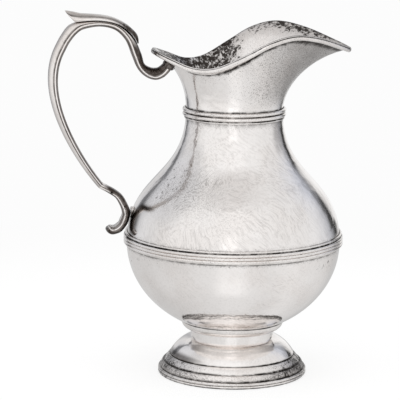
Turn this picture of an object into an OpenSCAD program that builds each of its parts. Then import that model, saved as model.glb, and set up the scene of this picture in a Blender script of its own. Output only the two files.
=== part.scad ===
// Footed silver ewer with a helmet lip and a scroll handle.
// The body's axis is Z and the base stands on Z = 0.
// The spout points along +X and the handle along -X.

/* [Sheet and seams] */
// Thickness of the silver sheet
wall = 1; // [0.8:0.1:1.4]
// Film of solder between a curved seat and its neighbour
solder = 0.2; // [0.1:0.05:0.3]

/* [Foot] */
// Diameter of the base ring
foot_d = 106.4; // [98:0.2:116]
// Height of the base ring
rim_h = 4.4; // [3.6:0.1:5.6]
// Width of the base ring under the border
rim_w = 3.6; // [3:0.1:5]
// Step from the base ring in to the border
rim_ledge = 1.6; // [1:0.1:2.4]
// Height of the stippled border
border_h = 4.5; // [3.6:0.1:6]
// How far the border slopes in
border_run = 2.2; // [1.4:0.1:3.2]
// Height of the plain band
band_h = 4.8; // [3.8:0.1:6]
// How far the plain band slopes in
band_run = 3.8; // [2.6:0.1:5]
// Step between one ring of the foot and the next
step_ledge = 0.6; // [0.3:0.1:1]
// Rise of the foot's dome
dome_h = 12.6; // [10.8:0.1:14.6]
// Outer diameter of the stem as a share of the base ring's
stem_share = 0.549; // [0.48:0.001:0.6]
// Height of the stem
stem_h = 5.6; // [4.4:0.1:7.6]
// Height of the collar under the bowl
collar_h = 6.4; // [5:0.1:8]
// How far the collar swells out past the stem
collar_flare = 7.3; // [5:0.1:8.5]
// Step from the stem out to the collar's lower edge
collar_ledge = 1.8; // [1:0.1:2.6]

/* [Body] */
// Outer diameter of the body at the belly seam
belly_d = 152; // [140:1:170]
// Depth of the bowl below the belly seam
bowl_depth = 65; // [58:1:72]
// Height of the shoulder and lower neck above the belly seam
shoulder_h = 94.5; // [86:0.5:104]
// How far the belly's curve runs up before it turns in
shoulder_pull = 48; // [42:1:54]
// How far the neck's curve runs down before it turns out
neck_pull = 49; // [43:1:54]
// Outer diameter of the neck at its seam
neck_d = 68.6; // [62:0.2:76]

/* [Belly band] */
// Diameter of each reed
reed_d = 2.2; // [1.6:0.1:2.8]
// Number of reeds
reed_count = 3; // [2:1:4]
// Thickness of the strip behind the reeds
band_strip = 0.9; // [0.6:0.1:1.2]
// Diameter of the fillet above the reeds
band_fillet_d = 1.4; // [1:0.1:2]
// Groove between the reeds and the fillet
band_groove = 0.5; // [0.3:0.1:0.8]
// How far the band reaches below the belly seam
band_drop = 1.1; // [0.6:0.1:2]

/* [Neck ring] */
// Diameter of each bead
bead_d = 2.6; // [2:0.1:3]
// Groove between the two beads
bead_groove = 0.6; // [0.3:0.1:0.8]
// Thickness of the strip behind the beads
ring_strip = 0.9; // [0.6:0.1:1.2]
// Diameter of the fillet under the beads
ring_fillet_d = 1.2; // [0.8:0.1:1.6]
// How far the ring reaches above the neck seam
ring_top = 2.2; // [1.6:0.1:2.6]

/* [Mouth and lip] */
// Reach of the spout's tip from the axis
spout_reach = 82.6; // [74:0.2:92]
// Reach of the rear tongue's tip from the axis
tongue_reach = 58.8; // [55:0.2:64]
// Half of the lip's greatest width
lip_half_w = 53; // [48:0.5:58]
// Height of the lip's lowest point above the neck seam
dip_h = 33; // [29:0.5:37]
// Height of the lip's crest above its lowest point
lip_rise = 24.4; // [18:0.2:30]
// Height over which the neck stays upright
neck_rise = 17; // [13:0.5:20]
// Height of the rim wire
rim_wire_h = 3.4; // [2.6:0.1:4]
// Thickness of the rim wire
rim_wire_t = 2; // [1.4:0.1:2.4]
// Width of the fillet under the rim wire
rim_fillet_w = 1.2; // [0.8:0.1:1.6]

/* [Handle] */
// Width of the handle's strap
strap_w = 12; // [10:0.2:14]
// Thickness of the handle's strap
strap_t = 6.4; // [5.4:0.1:7.4]
// Length of the knuckle between the neck and the handle
lug_len = 3.2; // [2.4:0.1:4.2]
// Reach of the upper scroll out from the knuckle
arch_reach = 74; // [66:0.5:80]
// Rise of the upper scroll above the knuckle
arch_rise = 32.2; // [28:0.2:37]
// How far the grip follows the upper scroll's direction
grip_pull_top = 34; // [28:1:40]
// How far the grip follows its lower end's direction
grip_pull_foot = 30; // [24:1:36]
// Steepness of the grip's lower end
grip_foot_angle = 51; // [46:1:57]
// Height of the lower seat above the belly seam
tail_seat_h = 22; // [18:0.5:27]
// Reach of the lower scroll out from its seat
tail_reach = 18.2; // [16:0.2:21]
// Rise of the lower scroll above its seat
tail_rise = 19.5; // [17:0.5:22]
// Thickness of the pad between the lower scroll and the shoulder
pad_t = 1.4; // [1.2:0.1:2.4]
// Diameter of the pad
pad_d = 8; // [6:0.5:11]

/* [Hidden] */
$fn = 96;

// Radii of the foot, each stepped in from the one below
foot_r = foot_d / 2;
border_r = foot_r - rim_ledge;
border_top_r = border_r - border_run;
band_r = border_top_r - step_ledge;
band_top_r = band_r - band_run;
dome_r = band_top_r - step_ledge;
stem_r = stem_share * foot_r;
collar_r = stem_r + collar_flare;
// How far a ledge reaches in under the wall that it carries
ledge_lap = wall;

// Heights, each stacked on the one below
border_z = rim_h;
band_z = border_z + border_h;
dome_z = band_z + band_h;
stem_z = dome_z + dome_h;
collar_z = stem_z + stem_h;
seat_z = collar_z + collar_h;

// The bowl's curve passes one film of solder above the collar's upper edge
belly_r = belly_d / 2;
belly_z = seat_z + solder + bowl_depth * sqrt(1 - pow(collar_r / belly_r, 2));
neck_r = neck_d / 2;
neck_z = belly_z + shoulder_h;
dip_z = neck_z + dip_h;
tail_z = belly_z + tail_seat_h;

// Facets along the curves
bowl_steps = 26;
shoulder_steps = 32;
fold_steps = 8;
lip_steps = 4;
wall_steps = 16;
strap_steps = 3;
grip_steps = 18;
leaf_steps = 2;
lug_sides = 14;
fine_sides = 360;
quarter_turn = 90;
bisections = 24;
tangent_step = 0.02;

// Half of the lip's edge from the spout's tip to the tongue's tip.
// Columns: X of the spout's or the tongue's reach, Y of the half width, Z between dip and crest.
lip_shares = [
    [1.00, 0.00, 0.42], [0.90, 0.32, 0.57], [0.67, 0.70, 0.87], [0.44, 0.94, 1.00],
    [0.22, 1.00, 0.82], [0.00, 0.92, 0.42], [-0.31, 0.74, 0.06], [-0.56, 0.56, 0.02],
    [-0.79, 0.43, 0.22], [-0.95, 0.24, 0.38], [-1.00, 0.00, 0.42]
];
lip_spans = 2 * (len(lip_shares) - 1);
rim_count = lip_spans * lip_steps;
// Where the neck's curve turns out, as shares of its run to the edge, at the spout and at the tongue
spout_flare_share = 0.40;
spout_lift_share = 0.89;
tongue_flare_share = 0.26;
tongue_lift_share = 0.75;

// Half of the strap's section, from the crown round to the inner face.
// Columns: share of the half width, share of the crown's height or of the inner depth.
strap_shares = [
    [0.42, 0.94], [0.78, 0.64], [0.92, 0.24], [0.84, 0.00],
    [1.00, -0.18], [1.00, -0.42], [0.84, -0.60], [0.70, -1.00]
];
// Path of the upper scroll from the knuckle, along the groove in the strap's side.
// Columns: shares of its reach and rise, then crown, inner depth and half width as shares of the strap.
arch_shares = [
    [0.00, 0.00, 0.60, 0.52, 0.38], [0.05, -0.12, 0.74, 0.48, 0.44], [0.11, -0.17, 0.84, 0.44, 0.48],
    [0.18, -0.11, 0.68, 0.46, 0.50], [0.243, 0.04, 0.46, 0.48, 0.50], [0.288, 0.29, 0.56, 0.50, 0.50],
    [0.353, 0.66, 0.42, 0.52, 0.50], [0.467, 0.92, 0.16, 0.52, 0.50], [0.626, 1.00, 0.16, 0.46, 0.50],
    [0.795, 0.95, 0.34, 0.50, 0.50], [0.88, 0.825, 0.74, 0.48, 0.50], [0.953, 0.618, 0.72, 0.48, 0.50],
    [1.00, 0.416, 0.72, 0.48, 0.50]
];
// Leaf on the upper scroll, ending in the spur, in shares of the strap.
// Columns: place along the scroll's path, underside above the strap, top above the path, half width.
leaf_shares = [
    [5.55, 0.00, 0.64, 0.30], [5.90, 0.00, 0.86, 0.44], [6.40, 0.00, 0.74, 0.48], [7.00, 0.00, 0.62, 0.49],
    [7.60, 0.00, 0.70, 0.49], [8.20, 0.00, 0.82, 0.48], [8.70, 0.00, 1.04, 0.46], [9.00, 0.00, 1.26, 0.42],
    [9.30, 0.00, 1.74, 0.36], [9.46, 0.16, 2.06, 0.28], [9.55, 0.98, 2.20, 0.16]
];
// Section of the leaf: shares of the half width and of the height from underside to top
leaf_section_shares = [
    [0, 1], [0.45, 0.92], [0.82, 0.66], [1, 0.26], [0.86, 0],
    [-0.86, 0], [-1, 0.26], [-0.82, 0.66], [-0.45, 0.92]
];
// Path of the lower scroll, past its seat on the pad to the curled tip, in shares of its reach and rise.
// Further columns: crown, inner depth and half width as shares of the strap.
tail_shares = [
    [1.00, 1.00, 0.36, 0.32, 0.44], [0.77, 0.885, 0.36, 0.30, 0.46], [0.51, 0.74, 0.37, 0.30, 0.47],
    [0.30, 0.58, 0.40, 0.34, 0.48], [0.125, 0.32, 0.43, 0.42, 0.48], [0.00, 0.00, 0.45, 0.46, 0.48],
    [0.045, -0.24, 0.45, 0.48, 0.48], [0.15, -0.45, 0.45, 0.48, 0.48], [0.31, -0.595, 0.47, 0.46, 0.50],
    [0.49, -0.655, 0.48, 0.44, 0.52], [0.635, -0.63, 0.44, 0.42, 0.52], [0.715, -0.52, 0.36, 0.36, 0.48]
];
tail_seat_row = 5;
// Place and size of the knuckle's seat in the mouth's own curves: height share, then shares along and up
lug_seat_share = 0.71;
lug_spread_shares = [0.50, 0.085];
lug_swell_share = 1.12;

// Curves

function mix(a, b, t) = a + (b - a) * t;
function unit(v) = v / norm(v);
function bezier(p, t) =
    let (s = 1 - t)
    s * s * s * p[0] + 3 * s * s * t * p[1] + 3 * s * t * t * p[2] + t * t * t * p[3];
function bezier_slope(p, t) =
    let (s = 1 - t)
    s * s * (p[1] - p[0]) + 2 * s * t * (p[2] - p[1]) + t * t * (p[3] - p[2]);
// A profile's outward normal, for a profile that runs upwards
function bezier_normal(p, t) =
    let (d = unit(bezier_slope(p, t)))
    [d.y, -d.x];
function arc_fold(a, corner, b) =
    [for (k = [0:fold_steps]) let (t = k / fold_steps) mix(mix(a, corner, t), mix(corner, b, t), t)];
// A smooth curve through the rows of a table
function row_at(table, k) = table[max(0, min(len(table) - 1, k))];
function through(a, b, c, d, t) =
    b + 0.5 * t * (c - a + t * (2 * a - 5 * b + 4 * c - d + t * (3 * (b - c) + d - a)));
function spline_at(table, s) =
    let (k = max(0, min(len(table) - 2, floor(s))))
    through(row_at(table, k - 1), row_at(table, k), row_at(table, k + 1), row_at(table, k + 2), s - k);
function spline_slope(table, s) =
    spline_at(table, min(len(table) - 1, s + tangent_step)) - spline_at(table, max(0, s - tangent_step));

// Solids from rings of points, joined one to the next, with the ends capped unless they meet

function ring_centre(ring) = [for (p = ring) 1] * ring / len(ring);
module skin(rings, meets = false) {
    sides = len(rings[0]);
    count = len(rings);
    first_cap = sides * count;
    points = [for (ring = rings, p = ring) p];
    caps = meets ? [] : [ring_centre(rings[0]), ring_centre(rings[count - 1])];
    walls = [
        for (i = [0:meets ? count - 1 : count - 2], j = [0:sides - 1])
            let (
                a = i * sides + j,
                b = i * sides + (j + 1) % sides,
                c = ((i + 1) % count) * sides + (j + 1) % sides,
                d = ((i + 1) % count) * sides + j
            )
            each [[a, d, c], [a, c, b]]
    ];
    ends = meets ? [] : [
        for (j = [0:sides - 1])
            let (k = (j + 1) % sides, last = (count - 1) * sides)
            each [[first_cap, j, k], [first_cap + 1, last + k, last + j]]
    ];
    polyhedron(concat(points, caps), concat(walls, ends), convexity = 8);
}

// Body of revolution

function bowl_point(a, inset) =
    [(belly_r - inset) * sin(a), belly_z - (bowl_depth - inset) * cos(a)];
function bowl_curve(inset) =
    [for (k = [0:bowl_steps]) bowl_point(quarter_turn * k / bowl_steps, inset)];
shoulder_frame = [
    [belly_r, belly_z], [belly_r, belly_z + shoulder_pull], [neck_r, neck_z - neck_pull], [neck_r, neck_z]
];
function shoulder_point(t, inset) = bezier(shoulder_frame, t) - inset * bezier_normal(shoulder_frame, t);
function shoulder_curve(inset) =
    [for (k = [0:shoulder_steps]) shoulder_point(k / shoulder_steps, inset)];
function backwards(list) = [for (k = [len(list) - 1:-1:0]) list[k]];
// Where the shoulder's outer curve reaches a height
function shoulder_at(z, low = 0, high = 1, left = bisections) =
    let (middle = (low + high) / 2)
    left == 0 ? middle
    : shoulder_point(middle, 0).y < z ? shoulder_at(z, middle, high, left - 1)
    : shoulder_at(z, low, middle, left - 1);
tail_body_r = shoulder_point(shoulder_at(tail_z), 0).x;

module body_outline(clearance) {
    polygon(concat(bowl_curve(-clearance), shoulder_curve(-clearance), [[0, neck_z]]));
}

module bowl() {
    color("gainsboro") rotate_extrude() polygon(concat(bowl_curve(0), backwards(bowl_curve(wall))));
}

module shoulder() {
    color("gainsboro") rotate_extrude() polygon(concat(shoulder_curve(0), backwards(shoulder_curve(wall))));
}

band_bottom = belly_z - band_drop;
reeds_bottom = band_bottom + band_groove;
fillet_bottom = reeds_bottom + reed_count * reed_d + band_groove;
band_top = fillet_bottom + band_fillet_d;
module belly_band() {
    strip_r = belly_r + solder + band_strip;
    color("silver") rotate_extrude() difference() {
        union() {
            translate([belly_r - wall, band_bottom])
                square([strip_r - belly_r + wall, band_top - band_bottom]);
            for (k = [0:reed_count - 1])
                translate([strip_r, reeds_bottom + (k + 0.5) * reed_d])
                    circle(d = reed_d);
            translate([strip_r - band_strip / 2, fillet_bottom + band_fillet_d / 2])
                circle(d = band_fillet_d);
        }
        body_outline(solder);
    }
}

ring_bottom = neck_z + ring_top - 2 * bead_d - 2 * bead_groove - ring_fillet_d;
module neck_ring() {
    strip_r = neck_r + solder + ring_strip;
    color("silver") rotate_extrude() difference() {
        union() {
            translate([neck_r, ring_bottom])
                square([strip_r - neck_r, neck_z + ring_top - ring_bottom]);
            for (k = [0:1])
                translate([strip_r, neck_z + ring_top - bead_d / 2 - k * (bead_d + bead_groove)])
                    circle(d = bead_d);
            translate([strip_r - ring_strip / 2, ring_bottom + ring_fillet_d / 2])
                circle(d = ring_fillet_d);
        }
        square([neck_r + solder, neck_z + bead_d]);
    }
}

// Foot

collar_swell_share = 0.3;
module foot_collar() {
    lower_r = stem_r + collar_ledge;
    swell_z = mix(collar_z, seat_z, collar_swell_share);
    bore_r = stem_r - wall;
    seat_angle = asin(collar_r / (belly_r + solder));
    bore_angle = asin(bore_r / (belly_r + solder));
    seat = [for (k = [0:fold_steps]) bowl_point(mix(seat_angle, bore_angle, k / fold_steps), -solder)];
    color("silver") rotate_extrude() polygon(concat(
        [[bore_r, collar_z]],
        arc_fold([lower_r, collar_z], [collar_r, swell_z], [collar_r, seat_z - solder]),
        seat
    ));
}

module foot_stem() {
    color("gainsboro") translate([0, 0, stem_z]) difference() {
        cylinder(r = stem_r, h = stem_h);
        translate([0, 0, -wall]) cylinder(r = stem_r - wall, h = stem_h + 2 * wall);
    }
}

// Where the dome turns from its steep side to its flatter top, as shares of its run in and up
dome_turn_shares = [0.41, 0.85];
function dome_curve(inset) =
    let (edge = [dome_r - inset, dome_z + wall - inset], top = [stem_r - inset, stem_z - inset])
    arc_fold(edge, [mix(edge.x, top.x, dome_turn_shares.x), mix(edge.y, top.y, dome_turn_shares.y)], top);
module foot_dome() {
    color("gainsboro") rotate_extrude() polygon(concat(
        [[dome_r, dome_z]],
        dome_curve(0),
        [[stem_r - wall, stem_z]],
        backwards(dome_curve(wall))
    ));
}

// A sloping ring of sheet with a ledge at its top that carries the ring above
module step_ring(outer_r, top_r, ledge_r, bottom, top, swell_share) {
    swell_r = mix(top_r, outer_r, swell_share);
    swell_z = mix(bottom, top, swell_share);
    rotate_extrude() polygon(concat(
        arc_fold([outer_r, bottom], [swell_r, swell_z], [top_r, top]),
        [[ledge_r, top], [ledge_r, top - wall]],
        arc_fold([top_r - wall, top - wall], [swell_r - wall, swell_z - wall], [outer_r - wall, bottom])
    ));
}

band_swell_share = 0.55;
module foot_band() {
    ledge_r = dome_r - wall - ledge_lap;
    color("silver") step_ring(band_r, band_top_r, ledge_r, band_z, dome_z, band_swell_share);
}

border_swell_share = 0.75;
module foot_border() {
    ledge_r = band_r - wall - ledge_lap;
    color("silver") step_ring(border_r, border_top_r, ledge_r, border_z, band_z, border_swell_share);
}

module foot_rim() {
    fillet_d = rim_h / 2;
    inner_r = border_r - rim_w;
    color("silver") rotate_extrude() union() {
        translate([inner_r, 0]) square([foot_r - fillet_d / 2 - inner_r, rim_h]);
        for (k = [0:1])
            translate([foot_r - fillet_d / 2, (k + 0.5) * fillet_d]) circle(d = fillet_d);
    }
}

// Mouth and lip

// The lip's edge, mirrored across Y = 0: place runs once round, from the spout's tip
function lip_row(k) =
    let (
        turn = (k + lip_spans) % lip_spans,
        near = turn <= lip_spans / 2,
        p = lip_shares[near ? turn : lip_spans - turn]
    )
    [
        p.x * (p.x > 0 ? spout_reach : tongue_reach),
        p.y * lip_half_w * (near ? 1 : -1),
        dip_z + p.z * lip_rise
    ];
function lip_edge(place) =
    let (k = floor(place))
    through(lip_row(k - 1), lip_row(k), lip_row(k + 1), lip_row(k + 2), place - k);
function edge_angle(place) = let (p = lip_edge(place)) atan2(p.y, p.x);
// The neck's upright curve at one place round the lip, as radius and height
function neck_frame(place) =
    let (p = lip_edge(place), reach = norm([p.x, p.y]), front = (1 + p.x / reach) / 2)
    [
        [neck_r, neck_z],
        [neck_r, neck_z + neck_rise],
        [
            mix(neck_r, reach, mix(tongue_flare_share, spout_flare_share, front)),
            mix(neck_z, p.z, mix(tongue_lift_share, spout_lift_share, front))
        ],
        [reach, p.z]
    ];
function swing(p, a) = [p.x * cos(a), p.x * sin(a), p.y];
function mouth_point(place, t, inset) =
    let (frame = neck_frame(place))
    swing(bezier(frame, t) - inset * bezier_normal(frame, t), edge_angle(place));
function mouth_normal(place, t) = swing(bezier_normal(neck_frame(place), t), edge_angle(place));
function rim_places() = [for (k = [0:rim_count - 1]) k / lip_steps];

module mouth() {
    color("gainsboro") skin([
        for (place = rim_places()) concat(
            [for (k = [0:wall_steps]) mouth_point(place, k / wall_steps, wall)],
            [for (k = [wall_steps:-1:0]) mouth_point(place, k / wall_steps, 0)]
        )
    ], meets = true);
}

// A half-round wire laid on the outside of the lip, with its upper edge below the lip's edge by drop.
// Both edges of its flat back lie on the lip's wall.
function edge_wire_ring(place, drop, height, thickness) =
    let (
        frame = neck_frame(place),
        along = unit(lip_edge(place + tangent_step) - lip_edge(place - tangent_step)),
        up = unit(swing(bezier_slope(frame, 1), edge_angle(place))),
        out = unit(cross(along, up)),
        rise = cross(out, along),
        run = 3 * norm(frame[3] - frame[2]) * (rise * up),
        top = mouth_point(place, 1 - drop / run, 0),
        bottom = mouth_point(place, 1 - (drop + height) / run, 0)
    )
    [
        for (a = [90:-30:-90])
            mix(bottom, top, (1 + sin(a)) / 2) + out * (solder + cos(a) * thickness)
    ];

module rim_wire() {
    color("silver") skin([
        for (place = rim_places())
            edge_wire_ring(place, 0, rim_wire_h, rim_wire_t)
    ], meets = true);
}

module rim_fillet() {
    color("silver") skin([
        for (place = rim_places())
            edge_wire_ring(place, rim_wire_h + solder, rim_fillet_w, rim_fillet_w / 2)
    ], meets = true);
}

// Handle, in the plane Y = 0: path points are X and Z

function strap_ring(p, along, side, crown, depth, half_w) =
    let (
        out = side * [along.y, -along.x],
        half = [for (s = strap_shares) [s.x * half_w, s.y * (s.y > 0 ? crown : depth)]],
        outline = concat([[0, crown]], half, [for (s = backwards(half)) [-s.x, s.y]])
    )
    [for (s = outline) [p.x + out.x * s.y, side * s.x, p.y + out.y * s.y]];

// Upper scroll
lug_place = lip_spans / 2;
lug_seat = mouth_point(lug_place, lug_seat_share, 0);
lug_out = mouth_normal(lug_place, lug_seat_share);
knuckle = lug_seat + lug_out * (lug_len + solder);
arch_rows = [
    for (s = arch_shares)
        [
            knuckle.x - s[0] * arch_reach, knuckle.z + s[1] * arch_rise,
            s[2] * strap_t, s[3] * strap_t, s[4] * strap_w
        ]
];
arch_last = len(arch_rows) - 1;
function arch_point(s) = let (r = spline_at(arch_rows, s)) [r[0], r[1]];
function arch_along(s) = let (d = spline_slope(arch_rows, s)) unit([d[0], d[1]]);
module handle_arch() {
    color("silver") skin([
        for (k = [0:arch_last * strap_steps])
            let (s = k / strap_steps, r = spline_at(arch_rows, s))
            strap_ring(arch_point(s), arch_along(s), 1, r[2], r[3], r[4])
    ]);
}

module upper_lug() {
    along = arch_along(0);
    out = [along.y, -along.x];
    crown = arch_rows[0][2];
    depth = arch_rows[0][3];
    half_w = arch_rows[0][4];
    angles = [for (k = [0:lug_sides - 1]) 360 * k / lug_sides];
    seat = [
        for (a = angles)
            let (
                place = lug_place - lug_spread_shares.x * sin(a),
                t = lug_seat_share + lug_spread_shares.y * cos(a)
            )
            mouth_point(place, t, 0) + solder * mouth_normal(place, t)
    ];
    end = [
        for (a = angles)
            let (lift = cos(a) * (cos(a) > 0 ? crown : depth))
            [knuckle.x + out.x * lift, sin(a) * half_w, knuckle.z + out.y * lift]
    ];
    middle = (seat + end) / 2;
    centre = ring_centre(middle);
    color("silver") skin([seat, [for (p = middle) mix(centre, p, lug_swell_share)], end]);
}

module thumb_leaf() {
    last = len(leaf_shares) - 1;
    color("silver") skin([
        for (k = [0:last * leaf_steps])
            let (
                r = spline_at(leaf_shares, k / leaf_steps),
                p = arch_point(r[0]),
                along = arch_along(r[0]),
                low = spline_at(arch_rows, r[0])[2] + r[1] * strap_t + solder,
                high = r[2] * strap_t + solder
            )
            [
                for (s = leaf_section_shares)
                    let (lift = mix(low, high, s.y))
                    [p.x + along.y * lift, s.x * r[3] * strap_w, p.y - along.x * lift]
            ]
    ]);
}

// Lower scroll, whose crown rests on the pad
tail_seat = [-(tail_body_r + pad_t + tail_shares[tail_seat_row][2] * strap_t), tail_z];
tail_rows = [
    for (s = tail_shares)
        [
            tail_seat.x - s[0] * tail_reach, tail_seat.y + s[1] * tail_rise,
            s[2] * strap_t, s[3] * strap_t, s[4] * strap_w
        ]
];
tail_last = len(tail_rows) - 1;
grip_foot = [cos(grip_foot_angle), -sin(grip_foot_angle)];
module handle_tail() {
    color("silver") skin([
        for (k = [0:tail_last * strap_steps])
            let (s = k / strap_steps, r = spline_at(tail_rows, s), d = spline_slope(tail_rows, s))
            strap_ring([r[0], r[1]], k == 0 ? grip_foot : unit([d[0], d[1]]), -1, r[2], r[3], r[4])
    ]);
}

module lower_lug() {
    color("silver") difference() {
        translate([-(tail_body_r + pad_t) + solder, 0, tail_z]) rotate([0, 90, 0])
            cylinder(d = pad_d, h = pad_t + pad_d / 2);
        rotate_extrude($fn = fine_sides) body_outline(solder);
    }
}

// Grip, from the end of the upper scroll to the start of the lower one
module handle_grip() {
    top = arch_rows[arch_last];
    foot = tail_rows[0];
    start = [top[0], top[1]];
    end = [foot[0], foot[1]];
    frame = [start, start + grip_pull_top * arch_along(arch_last), end - grip_pull_foot * grip_foot, end];
    color("silver") skin([
        for (k = [0:grip_steps])
            let (t = k / grip_steps)
            strap_ring(
                bezier(frame, t), unit(bezier_slope(frame, t)), 1,
                mix(top[2], foot[2], t), mix(top[3], foot[3], t), mix(top[4], foot[4], t)
            )
    ]);
}

bowl();
shoulder();
belly_band();
mouth();
neck_ring();
rim_wire();
rim_fillet();
foot_collar();
foot_stem();
foot_dome();
foot_band();
foot_border();
foot_rim();
upper_lug();
handle_arch();
thumb_leaf();
handle_grip();
handle_tail();
lower_lug();
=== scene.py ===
"""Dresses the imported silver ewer: finer pieces over the solids, worn silver, a white studio and the camera."""
import math

import bmesh
import bpy
import numpy as np
from mathutils import Matrix


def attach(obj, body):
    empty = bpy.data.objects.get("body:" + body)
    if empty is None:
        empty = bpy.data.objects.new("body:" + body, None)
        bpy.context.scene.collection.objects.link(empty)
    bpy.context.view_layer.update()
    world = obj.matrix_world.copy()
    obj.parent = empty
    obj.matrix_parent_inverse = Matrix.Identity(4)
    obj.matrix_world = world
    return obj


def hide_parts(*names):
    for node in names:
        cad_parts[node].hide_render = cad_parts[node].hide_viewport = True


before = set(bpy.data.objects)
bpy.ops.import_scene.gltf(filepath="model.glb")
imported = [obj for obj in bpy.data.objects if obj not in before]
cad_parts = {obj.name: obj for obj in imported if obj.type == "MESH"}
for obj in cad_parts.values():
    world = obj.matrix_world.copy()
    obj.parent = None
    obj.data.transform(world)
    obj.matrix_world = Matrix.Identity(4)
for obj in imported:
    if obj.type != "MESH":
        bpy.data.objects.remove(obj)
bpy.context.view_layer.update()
scene = bpy.context.scene
scene.view_settings.view_transform = "Standard"

# Sizes of the solids, in millimetres
MM = 0.001
WALL, SOLDER = 1.0, 0.2

# Foot, from the base ring up
RIM_H, BORDER_H, BAND_H, DOME_H, STEM_H, COLLAR_H = 4.4, 4.5, 4.8, 12.6, 5.6, 6.4
FOOT_R, RIM_W = 53.2, 3.6
BORDER_R, BORDER_TOP_R = 51.6, 49.4
BAND_R, BAND_TOP_R, DOME_R = 48.8, 45.0, 44.4
STEM_R = 0.549 * FOOT_R
BORE_R = STEM_R - WALL
COLLAR_R, COLLAR_LOW_R = STEM_R + 7.3, STEM_R + 1.8
BORDER_Z = RIM_H
BAND_Z = BORDER_Z + BORDER_H
DOME_Z = BAND_Z + BAND_H
STEM_Z = DOME_Z + DOME_H
COLLAR_Z = STEM_Z + STEM_H
SEAT_Z = COLLAR_Z + COLLAR_H

# Body and lip
BELLY_R, BOWL_DEPTH, SHOULDER_H, NECK_R = 76.0, 65.0, 94.5, 34.3
SHOULDER_PULL_LOW, SHOULDER_PULL_TOP = 48.0, 49.0
BELLY_Z = SEAT_Z + SOLDER + BOWL_DEPTH * math.sqrt(1 - (COLLAR_R / BELLY_R) ** 2)
NECK_Z = BELLY_Z + SHOULDER_H
DIP_Z = NECK_Z + 33.0
LIP_RISE, SPOUT_REACH, TONGUE_REACH, LIP_HALF_W, NECK_RISE = 24.4, 82.6, 58.8, 53.0, 17.0
RIM_WIRE_H, RIM_WIRE_T, RIM_FILLET_W = 3.4, 2.0, 1.2

# Reeded wires round the belly and the neck
STRIP_T, LEDGE = 0.9, 0.5
REEDS, REED, FILLET_H = 3, 2.2, 1.4
BAND_BOTTOM = BELLY_Z - 1.1
REEDS_BOTTOM = BAND_BOTTOM + LEDGE
FILLET_BOTTOM = REEDS_BOTTOM + REEDS * REED + LEDGE
BAND_TOP = FILLET_BOTTOM + FILLET_H
BAND_STRIP_R = BELLY_R + SOLDER + STRIP_T
BEAD, BEAD_GAP = 2.6, 0.6
RING_TOP, RING_BOTTOM = NECK_Z + 2.2, NECK_Z - 5.4
RING_STRIP_R = NECK_R + SOLDER + STRIP_T

# Handle
STRAP_W, STRAP_T, LUG_LEN, ARCH_REACH, ARCH_RISE = 12.0, 6.4, 3.2, 74.0, 32.2
GRIP_PULL_TOP, GRIP_PULL_FOOT, GRIP_FOOT_ANGLE = 34.0, 30.0, math.radians(51)
TAIL_Z, TAIL_REACH, TAIL_RISE = BELLY_Z + 22.0, 18.2, 19.5
PAD_T, PAD_R, PAD_ROUND = 1.4, 4.0, 0.5

# The photograph's camera: turn about the body, tilt down, roll, place before the turn, lens and sensor
YAW, PITCH, ROLL = math.radians(6.0), math.radians(10.650), math.radians(0.45)
CAMERA_AT, LENS, SENSOR_W = (-23.86, -1540.0, 414.59), 198.0, 36.0

# Fineness of the meshes: sides of a turned piece, steps of a profile or path, parts of one span of the lip
SIDES, BOWL_STEPS, SHOULDER_STEPS, LONGEST_RUN = 200, 72, 90, 0.8
PATH_PARTS, LEAF_STEPS, GRIP_STEPS, LIP_PARTS = 12, 101, 90, 14


# Curves

def mix(a, b, t):
    return a + (b - a) * t


def smooth(low, high, x):
    """0 below low, 1 above high, with a soft change between them."""
    t = np.clip((np.asarray(x, float) - low) / (high - low), 0, 1)
    return t * t * (3 - 2 * t)


def between(x, low, high, soft):
    """1 from low to high and 0 outside, with both ends softened."""
    return smooth(low - soft, low + soft, x) * (1 - smooth(high - soft, high + soft, x))


def bell(distance, width):
    """1 at no distance, falling off softly over a width."""
    return np.exp(-(distance / width) ** 2)


def unit(v):
    return v / np.linalg.norm(v, axis=-1, keepdims=True)


def bezier(p, t):
    s = 1 - t
    return s ** 3 * p[0] + 3 * s * s * t * p[1] + 3 * s * t * t * p[2] + t ** 3 * p[3]


def bezier_slope(p, t):
    s = 1 - t
    return s * s * (p[1] - p[0]) + 2 * s * t * (p[2] - p[1]) + t * t * (p[3] - p[2])


def through(a, b, c, d, t):
    """The smooth curve from b to c, with a before them and d after them."""
    return b + 0.5 * t * (c - a + t * (2 * a - 5 * b + 4 * c - d + t * (3 * (b - c) + d - a)))


def spline(table, s):
    """The smooth curve through a table's rows, at each place in s."""
    s = np.asarray(s, float)
    last = len(table) - 1
    k = np.clip(np.floor(s).astype(int), 0, last - 1)
    rows = [table[np.clip(k + i, 0, last)] for i in (-1, 0, 1, 2)]
    return through(*rows, (s - k)[:, None])


def spline_way(table, s):
    """The direction of the curve's first two columns."""
    last = len(table) - 1
    return unit((spline(table, np.minimum(last, s + 0.02)) - spline(table, np.maximum(0, s - 0.02)))[:, :2])


def fold(a, corner, b, steps=14):
    """A curve from a to b that leans towards a corner."""
    t = np.linspace(0, 1, steps + 1)[:, None]
    a, corner, b = np.array(a), np.array(corner), np.array(b)
    return mix(mix(a, corner, t), mix(corner, b, t), t)


def arc(centre_r, centre_z, radius, first, last, steps=12):
    a = np.radians(np.linspace(first, last, steps + 1))
    return np.stack([centre_r + radius * np.cos(a), centre_z + radius * np.sin(a)], 1)


def line(a, b, steps):
    return mix(np.array(a), np.array(b), np.linspace(0, 1, steps + 1)[:, None])


def join(*runs):
    """One profile from several runs of points, without points that repeat."""
    points = np.concatenate([np.atleast_2d(np.array(r, float)) for r in runs])
    keep = np.linalg.norm(points - np.roll(points, 1, axis=0), axis=1) > 1e-4
    keep[0] = True
    return points[keep]


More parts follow.
